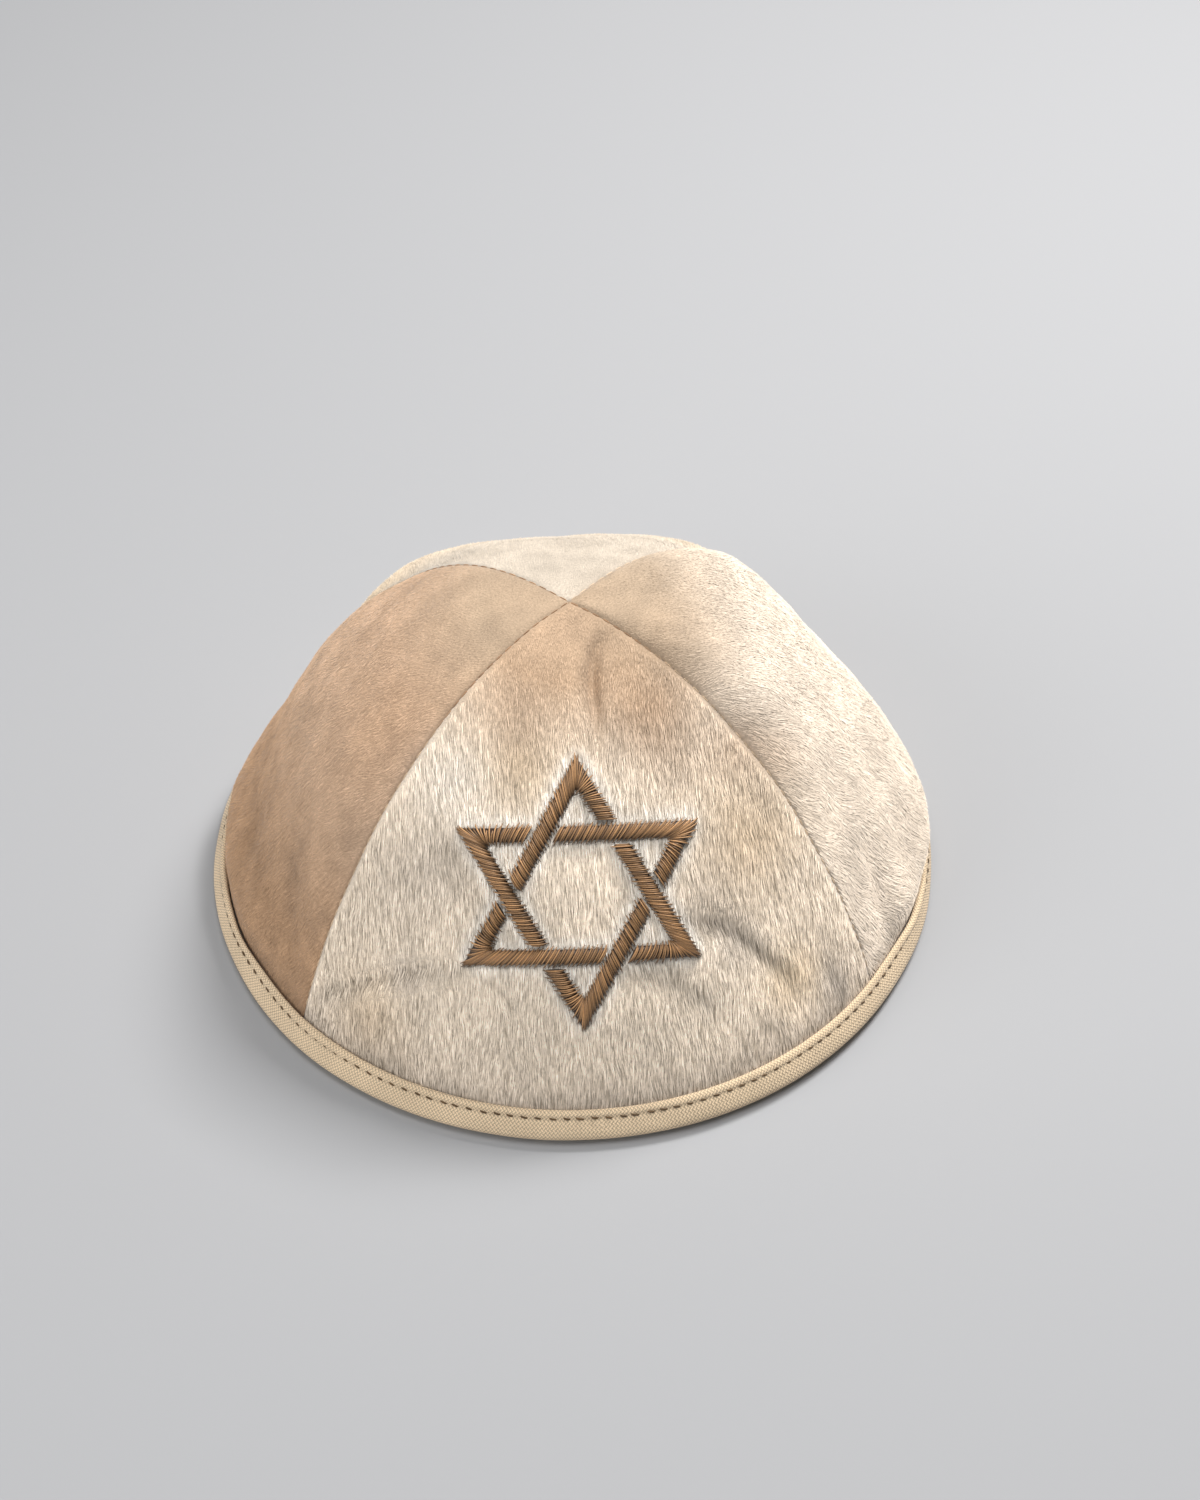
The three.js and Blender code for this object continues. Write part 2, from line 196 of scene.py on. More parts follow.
# A fold follows spots (azimuth, share of the way to the rim) and is strongest where the weight is 1; a depth
# below zero stands out, and end is where it dies out above the rim; shade darkens the pile along the fold as
# painted shade, and below zero lightens it as a painted highlight
folds = [
    {  # crown pinch
        "line": [(40, 0.112), (28, 0.122), (18, 0.144), (13, 0.174),
                 (10, 0.213), (9, 0.251), (7.5, 0.285), (5.5, 0.32)],
        "weights": [0.2, 0.6, 0.9, 1, 1, 0.9, 0.6, 0.2],
        "half": 1.6, "depth": 2.2, "shade": 0.8,
    },
    {  # bright lip beside the pinch: a ridge, lightened by a painted highlight
        "line": [(4, 0.12), (-1, 0.17), (-3, 0.23), (-2, 0.29)], "weights": [0.5, 1, 1, 0.5],
        "half": 3.0, "depth": -1.1, "shade": -0.1,
    },
    {  # crease left of the star
        "line": [(-49.5, 0.84), (-45.5, 0.8), (-41, 0.769), (-38.5, 0.752),
                 (-35, 0.735), (-32.5, 0.722), (-27, 0.705)],
        "weights": [0.4, 0.6, 0.85, 1, 1, 0.9, 0.4],
        "half": 2.2, "depth": 2.2, "shade": 0.85,
    },
    {  # crease right of the star
        "line": [(20, 0.62), (24, 0.65), (27, 0.66), (30, 0.69), (32, 0.72), (35, 0.762), (37, 0.81)],
        "weights": [0.3, 0.8, 1, 1, 1, 0.9, 0.4],
        "half": 2.7, "depth": 2.1, "shade": 0.52,
    },
    {  # hollow under the star
        "line": [(8, 0.68), (14, 0.705), (16, 0.732), (18.5, 0.752), (21, 0.775)],
        "weights": [0.4, 0.9, 1, 1, 0.5],
        "half": 3.0, "depth": 1.0, "shade": 0.34,
    },
    {  # gather at the right corner
        "line": [(44.5, 0.79), (45, 0.831), (45.5, 0.871), (45.5, 0.9)], "weights": [0.3, 0.8, 1, 1],
        "half": 2.2, "depth": 1.2, "shade": 0.5,
    },
    {  # hollows above the star
        "line": [(-28, 0.34), (-22, 0.43)], "weights": [1, 1],
        "half": 4.5, "depth": 0.8, "shade": 0.06,
    },
    {
        "line": [(33, 0.35), (29, 0.43)], "weights": [1, 1],
        "half": 4.5, "depth": 0.8, "shade": 0.08,
    },
    {  # gathers of the side panels
        "line": [(65, 0.74), (61, 0.9)], "weights": [0.5, 1],
        "half": 3.4, "depth": 1.6, "shade": 0.16,
    },
    {
        "line": [(76, 0.77), (74, 0.9)], "weights": [0.5, 1],
        "half": 3.4, "depth": 1.4, "shade": 0.12,
    },
    {
        "line": [(274, 0.78), (284, 0.88)], "weights": [1, 1],
        "half": 4.5, "depth": 0.9, "shade": 0.1,
    },
    {
        "line": [(290, 0.7), (299, 0.82)], "weights": [1, 1],
        "half": 4.5, "depth": 0.9, "shade": 0.12,
    },
    {  # rounded edge beside the front seam, lightened by a painted highlight
        "line": [(300, 0.1), (302.5, 0.3), (304, 0.52)], "weights": [0.6, 1, 0.5],
        "half": 3.0, "depth": -0.35, "shade": -0.12,
    },
    {  # sides that swell out over the tape
        "line": [(246, 0.83), (258, 0.86), (270, 0.88), (286, 0.88)], "weights": [0.6, 0.95, 1, 1],
        "half": 9.0, "depth": -3.2, "shade": 0.0, "end": 0.95,
    },
    {
        "line": [(98, 0.86), (88, 0.88), (78, 0.89), (68, 0.89)], "weights": [0.3, 0.8, 1, 1],
        "half": 8.0, "depth": -2.9, "shade": 0.0, "end": 0.95,
    },
]


# Crown line at an azimuth: its height leans from the front line to the back line with the cosine
def seamSpot(azimuth, along):
    lean = (1 - np.cos(np.radians(azimuth))) / 2
    height = mix(throughValues(cap["front"], along), throughValues(cap["back"], along), lean)
    return throughValues(cap["reach"], along), height


# Point at a reach and height, turned to its azimuth
def turned(reach, height, azimuth):
    turn = np.radians(azimuth)
    return np.stack(np.broadcast_arrays(reach * np.sin(turn), -reach * np.cos(turn), height), -1)


# Outward way square to the crown line, from its slope a little ahead and a little behind
def outwardWay(azimuth, along):
    aheadReach, aheadHeight = seamSpot(azimuth, np.minimum(along + cap["slopeStep"], 1))
    backReach, backHeight = seamSpot(azimuth, np.maximum(along - cap["slopeStep"], 0))
    return unit(turned(backHeight - aheadHeight, aheadReach - backReach, azimuth))


# Stand-out of a panel over its seams: (1 - u²) puff + 4 u² (1 - u²) shoulder, u from -1 to 1 across it
def puffAt(azimuth, along):
    first = panels[0]["from"]
    around = np.mod(azimuth - first, 360) + first
    rise = np.zeros(np.broadcast(azimuth, along).shape)
    for panel in panels:
        u = np.clip(2 * (around - panel["from"]) / (panel["to"] - panel["from"]) - 1, -1, 1)
        bow = 1 - u * u
        shoulder = 4 * u * u * bow * throughValues(panel["shoulder"], along)
        rise += bow * throughValues(panel["puff"], along) + shoulder
    return rise


# Cap without folds: crown line plus puff along the outward way
def plainSpot(azimuth, along):
    reach, height = seamSpot(azimuth, along)
    return turned(reach, height, azimuth) + outwardWay(azimuth, along) * puffAt(azimuth, along)[..., None]


for fold in folds:
    fold["spots"] = plainSpot(*np.array(fold["line"]).T)


# Nearness to a fold: weight at the nearest spot of its line, times a bell curve of the distance
# over a half width
def foldNear(fold, spots, half):
    nearest = np.full(spots.shape[:-1], np.inf)
    weight = np.zeros(spots.shape[:-1])
    stretches = zip(fold["spots"][:-1], fold["spots"][1:], fold["weights"][:-1], fold["weights"][1:])
    for start, end, first, last in stretches:
        apart, share = fromStretch(spots, start, end)
        weight = np.where(apart < nearest, mix(first, last, share), weight)
        nearest = np.minimum(apart, nearest)
    return weight * bell(nearest / half)


# Depth of the folds, each dying out above the rim
def foldDepth(spots, along):
    depth = np.zeros(along.shape)
    for fold in folds:
        fade = np.clip((fold.get("end", cap["foldEnd"]) - along) / cap["foldFade"], 0, 1)
        depth += fold["depth"] * fade * foldNear(fold, spots, fold["half"])
    return depth


# Cap's outer face: plain cap less the folds, along the outward way
def capSpot(azimuth, along):
    azimuth, along = np.broadcast_arrays(np.asarray(azimuth, float), np.asarray(along, float))
    spots = plainSpot(azimuth, along)
    return spots - outwardWay(azimuth, along) * foldDepth(spots, along)[..., None]


# Reach of the cloth's outer face at a height near the rim
def clothReach(azimuth, height):
    azimuth, height = np.broadcast_arrays(azimuth, height)
    low, high = (np.full(azimuth.shape, end) for end in cap["rimSearch"])
    along = rootBetween(low, high, lambda t: height - capSpot(azimuth, t)[..., 2])
    spots = capSpot(azimuth, along)
    return np.hypot(spots[..., 0], spots[..., 1])


def tipRise(along):
    return throughValues(cap["reach"], along) - cap["tipReach"]


def hemRise(along):
    return cap["hemHeight"] - throughValues(cap["front"], along)


tipAlong = float(rootBetween(*np.array(cap["tipSearch"]), tipRise))
hemAlong = float(rootBetween(*np.array(cap["rimSearch"]), hemRise))
print("cap surface ready, crown to hem", round(tipAlong, 4), round(hemAlong, 4))


# Meshes from arrays

mapMargin = 0.06  # share of a map cell left free at each edge


# A part has points, one tint per point, and sets of equal-sided faces with a map place for each corner;
# finishes gives each set's material number
def makePart(points, tints, faceSets, finishes=(0, 0, 0)):
    tints = np.broadcast_to(tints, points.shape).reshape(-1, 3)
    return {"points": points.reshape(-1, 3), "tints": tints, "faceSets": faceSets, "finishes": finishes}


def putMesh(name, parts, materials, normals=None):
    starts = np.cumsum([0] + [len(part["points"]) for part in parts])
    points = np.concatenate([part["points"] for part in parts])
    tints = np.concatenate([part["tints"] for part in parts])
    corners, places, sides, finishes = [], [], [], []
    for start, part in zip(starts, parts):
        for (faces, spots), finish in zip(part["faceSets"], part["finishes"]):
            corners.append((faces + start).ravel())
            places.append(spots.reshape(-1, 2))
            sides.append(np.full(len(faces), faces.shape[1]))
            finishes.append(np.full(len(faces), finish))
    corners = np.concatenate(corners)
    sides = np.concatenate(sides)
    mesh = bpy.data.meshes.new(name)
    mesh.vertices.add(len(points))
    mesh.vertices.foreach_set("co", (points * metresPerMm).astype(np.float32).ravel())
    mesh.loops.add(len(corners))
    mesh.loops.foreach_set("vertex_index", corners.astype(np.int32))
    mesh.polygons.add(len(sides))
    mesh.polygons.foreach_set("loop_start", (np.cumsum(sides) - sides).astype(np.int32))
    mesh.polygons.foreach_set("material_index", np.concatenate(finishes).astype(np.int32))
    mesh.polygons.foreach_set("use_smooth", np.full(len(sides), True))
    mesh.update(calc_edges=True)
    uvMap = mesh.uv_layers.new(name="OFBake")
    uvMap.data.foreach_set("uv", np.concatenate(places).astype(np.float32).ravel())
    tintMap = mesh.attributes.new("tint", "FLOAT_COLOR", "POINT")
    rgba = np.concatenate([tints, np.ones((len(tints), 1))], 1)
    tintMap.data.foreach_set("color", rgba.astype(np.float32).ravel())
    for material in materials:
        mesh.materials.append(material)
    if normals is not None:
        mesh.normals_split_custom_set_from_vertices(normals.reshape(-1, 3).astype(np.float32))
    piece = bpy.data.objects.new(name, mesh)
    bpy.context.scene.collection.objects.link(piece)
    print(" ", name, "triangles", int((sides - 2).sum()))
    return piece


def cornerPlaces(*corners):  # map places of quads, from the two arrays of each corner
    return np.stack([np.stack(corner, 1) for corner in corners], 1)


def inBand(places, low, high):  # map places moved into a band of the map's height
    return places * np.array([1, high - low]) + np.array([0, low])


# Quads of a grid of rings: (i, j) (i+1, j) (i+1, j+1) (i, j+1); a ring always closes on itself
def ringQuads(rings, ring, wraps=False):
    steps = rings if wraps else rings - 1
    i, j = np.meshgrid(np.arange(steps), np.arange(ring), indexing="ij")
    i, j = i.ravel(), j.ravel()
    row, nextRow = i * ring, (i + 1) % rings * ring
    nextSide = (j + 1) % ring
    faces = np.stack([row + j, nextRow + j, nextRow + nextSide, row + nextSide], 1)
    places = cornerPlaces((j, i), (j, i + 1), (j + 1, i + 1), (j + 1, i))
    return faces, places / np.array([ring, steps])


# Fan over a closed end ring, first point to each next pair; places go round a small circle
def endFan(start, ring, flip):
    j = np.arange(1, ring - 1)
    faces = np.stack([np.full(ring - 2, start), start + j, start + j + 1], 1)
    angle = 2 * np.pi * (faces - start) / ring
    places = 0.5 + 0.5 * np.stack([np.cos(angle), np.sin(angle)], -1)
    return (faces[:, ::-1], places[:, ::-1]) if flip else (faces, places)


# Copies of one face set for many equal bodies, each with its own cell of the map area
def copyFaces(faces, places, copies, pointsEach, area):
    across = int(np.ceil(np.sqrt(copies)))
    n = np.arange(copies)
    cell = np.stack([n % across, n // across], 1)[:, None, None, :]
    corner, span = np.array(area[:2]), np.array(area[2:]) - np.array(area[:2])
    spread = corner + span * (cell + mix(mapMargin, 1 - mapMargin, places[None])) / across
    allFaces = faces[None] + (n * pointsEach)[:, None, None]
    return allFaces.reshape(-1, faces.shape[1]), spread.reshape(-1, faces.shape[1], 2)


# Tubes along many paths: ring point = path + side cos(a) width / 2 + up sin(a) thick / 2, times the taper
def threadTubes(paths, ups, width, thick, taper, tints, area, sides=6):
    copies, stations = paths.shape[:2]
    ways = unit(np.gradient(paths, axis=1))
    sideways = unit(np.cross(ways, ups))
    over = np.cross(sideways, ways)
    angle = 2 * np.pi * np.arange(sides) / sides
    swell = np.broadcast_to(taper, (copies, stations))[:, :, None, None]
    flank = sideways[:, :, None] * np.cos(angle)[:, None] * width
    crest = over[:, :, None] * np.sin(angle)[:, None] * thick
    points = paths[:, :, None] + swell * (flank + crest) / 2
    tints = np.broadcast_to(tints[:, :, None], points.shape)
    each = stations * sides
    shapes = [ringQuads(stations, sides), endFan(0, sides, False), endFan(each - sides, sides, True)]
    faceSets = [copyFaces(*shape, copies, each, area) for shape in shapes]
    return makePart(points, tints, faceSets)


# Materials

def startMaterial(name, roughness, specular, sheen=0.0):
    material = bpy.data.materials.new(name)
    material.use_nodes = True
    shader = material.node_tree.nodes["Principled BSDF"]
    shader.inputs["Roughness"].default_value = roughness
    shader.inputs["Specular IOR Level"].default_value = specular
    shader.inputs["Sheen Weight"].default_value = sheen
    return material, material.node_tree, shader


def addNode(tree, kind, inputs, **settings):
    node = tree.nodes.new(kind)
    for key, value in settings.items():
        setattr(node, key, value)
    for key, value in inputs.items():
        if isinstance(value, bpy.types.NodeSocket):
            tree.links.new(value, node.inputs[key])
        else:
            node.inputs[key].default_value = value
    return node


def mathOf(tree, operation, *values):
    return addNode(tree, "ShaderNodeMath", dict(enumerate(values)), operation=operation).outputs["Value"]


def objectNoise(tree, grain, detail=3.0):  # noise over object coordinates, grain in millimetres
    place = addNode(tree, "ShaderNodeTexCoord", {}).outputs["Object"]
    inputs = {"Vector": place, "Scale": 1 / (grain * metresPerMm), "Detail": detail}
    return addNode(tree, "ShaderNodeTexNoise", inputs).outputs["Fac"]


def spreadTo(tree, value, low, high, within=(0.3, 0.7)):  # the part of a value within two ends onto low-high
    inputs = {"Value": value, "From Min": within[0], "From Max": within[1], "To Min": low, "To Max": high}
    return addNode(tree, "ShaderNodeMapRange", inputs).outputs["Result"]


def colourFrom(tree, shader, grey):  # base colour: the points' own tint times a grey value
    tint = addNode(tree, "ShaderNodeAttribute", {}, attribute_name="tint").outputs["Color"]
    node = addNode(tree, "ShaderNodeVectorMath", {0: tint, 1: grey}, operation="MULTIPLY")
    tree.links.new(node.outputs["Vector"], shader.inputs["Base Color"])


def bumpFrom(tree, shader, height, depth, strength):  # depth in millimetres
    inputs = {"Height": height, "Strength": strength, "Distance": depth * metresPerMm}
    bump = addNode(tree, "ShaderNodeBump", inputs)
    tree.links.new(bump.outputs["Normal"], shader.inputs["Normal"])


def pileMaterial():
    material, tree, shader = startMaterial("plushPile", roughness=0.62, specular=0.28, sheen=0.2)
    shader.inputs["Sheen Roughness"].default_value = 0.45
    shader.inputs["Sheen Tint"].default_value = (1.0, 0.95, 0.88, 1)
    fleck = objectNoise(tree, grain=0.9)
    colourFrom(tree, shader, spreadTo(tree, fleck, low=0.9, high=1.08))
    tree.links.new(spreadTo(tree, fleck, low=0.74, high=0.52), shader.inputs["Roughness"])
    return material


def groundMaterial():
    material, tree, shader = startMaterial("plushGround", roughness=0.85, specular=0.15, sheen=0.25)
    fleck = objectNoise(tree, grain=0.45)
    colourFrom(tree, shader, spreadTo(tree, fleck, low=0.82, high=1.1))
    bumpFrom(tree, shader, fleck, depth=0.3, strength=0.6)
    return material


def backingMaterial():  # knitted back of the plush: fine courses with a little unevenness
    material, tree, shader = startMaterial("plushBacking", roughness=0.88, specular=0.15)
    place = addNode(tree, "ShaderNodeTexCoord", {}).outputs["Object"]
    wave = {"Vector": place, "Scale": 260.0, "Distortion": 2.2, "Detail": 2.0, "Detail Scale": 3.0}
    course = addNode(tree, "ShaderNodeTexWave", wave, bands_direction="Z").outputs["Fac"]
    mottled = spreadTo(tree, objectNoise(tree, grain=4.0), low=0.88, high=1.06)
    colourFrom(tree, shader, mathOf(tree, "MULTIPLY", mottled, spreadTo(tree, course, low=0.86, high=1.04)))
    bumpFrom(tree, shader, course, depth=0.25, strength=0.6)
    return material


def tapeMaterial(lengthMm, roundMm, pitch):  # plain weave cut on the bias, laid out on the tape's own map
    material, tree, shader = startMaterial("bindingTape", roughness=0.8, specular=0.2, sheen=0.15)
    uv = addNode(tree, "ShaderNodeUVMap", {}, uv_map="OFBake").outputs["UV"]
    threads = (roundMm / pitch, lengthMm / pitch, 1)
    bias = {"Vector": uv, "Scale": threads, "Rotation": (0, 0, np.radians(45))}
    laid = addNode(tree, "ShaderNodeMapping", bias).outputs["Vector"]
    split = addNode(tree, "ShaderNodeSeparateXYZ", {"Vector": laid})
    crowns = []
    for axis in ("X", "Y"):
        wave = mathOf(tree, "SINE", mathOf(tree, "MULTIPLY", split.outputs[axis], np.pi))
        crowns.append(mathOf(tree, "ABSOLUTE", wave))
    check = addNode(tree, "ShaderNodeTexChecker", {"Vector": laid, "Scale": 1.0}).outputs["Fac"]
    crossing = {"Factor": check, "A": crowns[0], "B": crowns[1]}
    weave = addNode(tree, "ShaderNodeMix", crossing).outputs["Result"]
    threaded = spreadTo(tree, objectNoise(tree, grain=0.8), low=0.94, high=1.05)
    mottled = spreadTo(tree, objectNoise(tree, grain=9.0), low=0.93, high=1.05)
    grey = mathOf(tree, "MULTIPLY", spreadTo(tree, weave, low=0.45, high=1.15, within=(0, 1)), mottled)
    colourFrom(tree, shader, mathOf(tree, "MULTIPLY", grey, threaded))
    bumpFrom(tree, shader, weave, depth=0.16, strength=0.7)
    return material


def threadMaterial(name, roughness, specular):  # spun thread: tint along each strand, slight streaks
    material, tree, shader = startMaterial(name, roughness, specular, sheen=0.1)
    unevenness = 0.08
    streak = objectNoise(tree, grain=0.35)
    colourFrom(tree, shader, spreadTo(tree, streak, low=0.86, high=1.12))
    rough = spreadTo(tree, streak, low=roughness + unevenness, high=roughness - unevenness)
    tree.links.new(rough, shader.inputs["Roughness"])
    bumpFrom(tree, shader, streak, depth=0.05, strength=0.4)
    return material


# Floor

floor = {"side": 4.0, "colour": (0.385, 0.393, 0.408)}  # metres


def floorMaterial():
    material, tree, shader = startMaterial("paleFloor", roughness=0.7, specular=0.2)
    shader.inputs["Base Color"].default_value = (*floor["colour"], 1)
    bumpFrom(tree, shader, objectNoise(tree, grain=30.0, detail=6.0), depth=0.3, strength=0.15)
    return material


def makeFloor():
    half = floor["side"] / 2
    corners = [(-half, -half, 0), (half, -half, 0), (half, half, 0), (-half, half, 0)]
    mesh = bpy.data.meshes.new("floor")
    mesh.from_pydata(corners, [], [(0, 1, 2, 3)])
    mesh.materials.append(floorMaterial())
    plane = bpy.data.objects.new("floor", mesh)
    bpy.context.scene.collection.objects.link(plane)


makeFloor()


# Star: place on its leaning plane, and the cloth under a place

star = {
    "azimuth": -2.3, "reach": 50.6, "height": 45.5, "along": 0.56, "normalElevation": 39.8,
    "tipRadius": 29.2, "barWidth": 3.2, "endGap": 1.1, "seed": 31,
    "pitch": 0.48, "pitchJitter": 0.12, "threadWidth": 0.33, "threadThick": 0.38, "stations": 9,
    "sole": -0.15, "crown": 1.0, "crownSpread": 0.05, "endTaper": 0.4,
    "tooth": 0.7, "ragged": 0.2, "fan": 3.0,
    "gold": (173, 132, 90), "pairShade": (0.74, 1.1), "threadShade": (0.62, 1.38),
    # lowShade and highShade are painted shade, darkening each stitch towards the bar's lower edge and just at
    # its upper edge
    "lowShade": 0.66, "highShade": 0.35,
    # the bed's near-black tone is painted shade between the threads
    "bedTone": (48, 28, 13), "bedRings": 61, "bedAcross": 9,  # dark bed under the threads
    "bedShare": 0.92, "bedSink": 0.35, "bedDepth": 0.62,
}

starTurn = np.radians(star["azimuth"])
starLean = np.radians(star["normalElevation"])
starCentre = np.array([star["reach"] * np.sin(starTurn), -star["reach"] * np.cos(starTurn), star["height"]])
starRight = np.array([np.cos(starTurn), np.sin(starTurn), 0])
starInward = np.array([-np.sin(starTurn), np.cos(starTurn), 0])
starUp = starInward * np.sin(starLean) + np.array([0, 0, np.cos(starLean)])


def planePlace(spots):
    away = spots - starCentre
    return np.stack([away @ starRight, away @ starUp], -1)


def crossed(a, b):
    return a[..., 0] * b[..., 1] - a[..., 1] * b[..., 0]


# Azimuth and along under a place on the plane, by Newton steps with slopes taken over small moves
def clothUnder(places, rounds=10, turnStep=0.1, alongStep=0.001):
    azimuth = np.full(places.shape[:-1], float(star["azimuth"]))
    along = np.full(places.shape[:-1], star["along"])
    for _ in range(rounds):
        here = planePlace(capSpot(azimuth, along))
        side = (planePlace(capSpot(azimuth + turnStep, along)) - here) / turnStep
        down = (planePlace(capSpot(azimuth, along + alongStep)) - here) / alongStep
        miss = places - here
        spread = crossed(side, down)
        azimuth = azimuth + crossed(miss, down) / spread
        along = along + crossed(side, miss) / spread
    return azimuth, along


def heading(degrees):
    return np.array([np.cos(np.radians(degrees)), np.sin(np.radians(degrees))])


# One point of the star: middle of the bar, and half its width as a way to the outer edge,
# at the long end, at the mitred corner and at the short end
def starPoint(tip):
    corner = heading(tip) * (star["tipRadius"] - star["barWidth"])
    edge = (star["tipRadius"] - star["barWidth"]) * np.sqrt(3)
    stop = (star["barWidth"] / 2 + star["endGap"]) / np.sin(np.radians(60))
    longEnd = corner + heading(tip + 150) * (2 * edge / 3 - stop)
    shortEnd = corner + heading(tip + 210) * (edge / 3 - stop)
    cuts = [heading(tip + 210), heading(tip), heading(tip - 90)]
    squares = [heading(tip + 60), heading(tip + 60), heading(tip - 60)]
    middles = np.array([longEnd, corner, shortEnd])
    halves = np.array([cut * star["barWidth"] / 2 / (cut @ square) for cut, square in zip(cuts, squares)])
    return middles, halves


starPoints = [starPoint(90 - 60 * k) for k in range(6)]


# Distance outside the star's bars, below zero on a bar
def starDistance(spots):
    places = planePlace(spots)
    legs = [(m[leg], m[leg + 1]) for m, _ in starPoints for leg in (0, 1)]
    return np.min([fromStretch(places, a, b)[0] for a, b in legs], 0) - star["barWidth"] / 2


# Plush panels

cloth = {
    "sink": 0.5,                               # ground cloth under the pile's top
    "seamDip": 0.15, "seamDipWidth": 0.5,      # sewn valley beside a seam
    "ripple": 0.11, "rippleLength": 11.0,      # soft unevenness, calm near seams and rim
    "calmSeam": 6.0, "calmEnd": 0.94, "calmFade": 0.1,
    # groundShade darkens the ground cloth under the pile and seamShade darkens it more beside each seam, both
    # painted shade
    "seamGap": 0.05, "groundShade": 0.88, "seamShade": 0.8, "seamShadeWidth": 1.2,
    "backing": (196, 174, 144),
    "tipBand": (0, 0.02), "bodyBand": (0.03, 0.97), "hemBand": (0.98, 1),  # heights on the map
}

pile = {
    "rootDepth": 0.2, "thick": 0.15, "tipClear": 0.06, "seamMargin": 0.06, "rimHeight": 7.0,
    "acrossSpread": 0.7548776662466927, "alongSpread": 0.5698402909980532,  # even spread without rows
    "spreadJitter": 0.004, "napSteps": 500, "acrossStep": 0.002, "alongStep": 0.001,
    "jitterTurn": 4.0, "swirlLength": 9.0,
    "liftSpread": (0.5, 1.5), "lengthSpread": (0.65, 1.3), "widthSpread": (0.7, 1.25),
    "smoothFrom": 0.12, "smoothFade": 0.28, "smoothLow": 0.5, "smoothContrast": 0.2,  # near the crown point
    "underBar": 0.9, "barOverlap": 0.35, "cutShares": (0.8, 0.6, 0.4, 0.25),  # at the star's bars
    "strokeWide": 0.42, "strokeLong": 3.6, "strokeWave": 0.3, "waverLength": 8.0, "stroke": 0.22,
    "strandSpread": 0.12, "brightRange": (0.45, 1.4), "warmth": (0.95, 1.0, 1.08),
    "mottle": 0.045, "mottleLength": 14.0, "fleck": 0.035, "fleckLength": 5.0,
    # rootShade and tipShade paint shade at the strands' roots and light at their tips, creaseShare narrows
    # the painted crease shade, and rimShade paints shade on the pile just above the tape
    "rootShade": 0.8, "tipShade": 1.06, "creaseShare": 0.7, "rimShade": 0.72, "rimFade": 4.0,
    "haloWidth": 1.6, "halo": 0.75, "roundness": 0.35,
}

fieldSeeds = {"ripple": 0, "mottle": 40, "fleck": 50, "swirl": 60, "waver": 65, "stroke": 70}

tones = {
    "tan": (201, 172, 143), "cream": (250, 234, 213), "white": (255, 250, 241), "grey": (198, 187, 176),
    "ochre": (214, 188, 154), "rose": (226, 209, 190), "gold": (240, 212, 172), "ivory": (239, 224, 206),
    "wheat": (234, 212, 182), "suede": (203, 171, 142), "suedeLight": (191, 167, 141),
    "suedeDark": (186, 150, 117), "warm": (182, 150, 120), "snow": (207, 195, 179),
    "sand": (188, 164, 138), "fawn": (195, 174, 150),
}

# Each panel's run is partly its own tone and partly painted light: the darker left panel and the paler right
# and back panels stand in for the nap's sheen under the light, the sand and fawn at the right panel's crown
# for painted shade on its slope turned from the light, and the darker steps at the rim partly for painted
# shade low on the cap
panelTones = {  # from crown point to rim in even steps
    "front_plush": ["tan", "tan", "cream", "cream", "cream", "rose"],
    "right_plush": ["sand", "fawn", "ivory", "ivory", "ivory", "ivory"],
    "back_plush": ["snow", "snow", "snow", "wheat", "wheat", "rose"],
    "left_plush": ["suedeLight", "suedeLight", "suede", "suede", "suedeDark", "suedeDark"],
}

# The grey patches are painted shade of the creases and hollows; the sand and warm patches at azimuths 56 and
# 62, beside the front-right seam, are partly the pile's tone and partly painted shade; the other patches are
# the pile's own tone
# Soft patches of another tone: azimuth, share of the way to the rim, half width, tone, strength
patches = [
    (-22, 0.38, 8, "ochre", 0.65),
    (30, 0.39, 9, "warm", 0.4),
    (32, 0.28, 10, "warm", 0.8),
    (-30, 0.285, 9, "warm", 0.4),
    (49, 0.44, 8, "warm", 0.5),
    (-40, 0.44, 8, "white", 0.4),
    (-39, 0.58, 12, "grey", 0.35),
    (-36, 0.745, 5, "grey", 0.5),
    (-40, 0.82, 9, "ochre", 0.5),
    (28, 0.69, 6, "grey", 0.5),
    (26, 0.61, 7, "grey", 0.3),
    (37, 0.79, 7, "gold", 0.6),
    (45, 0.855, 5, "grey", 0.6),
    (40, 0.56, 13, "ochre", 0.65),
    (62, 0.2, 14, "sand", 0.7),
    (56, 0.5, 7, "warm", 0.3),
    (290, 0.44, 12, "suedeDark", 0.25),
]


def panelField(panel, use, spots, length):  # random field of a panel, with its own seed for each use
    return waveField(spots, length, panel["seed"] + fieldSeeds[use])


def isStarred(panel):
    return panel["node"] == "front_panel"


def halfAngle(panel):
    return np.radians(panel["to"] - panel["from"]) / 2


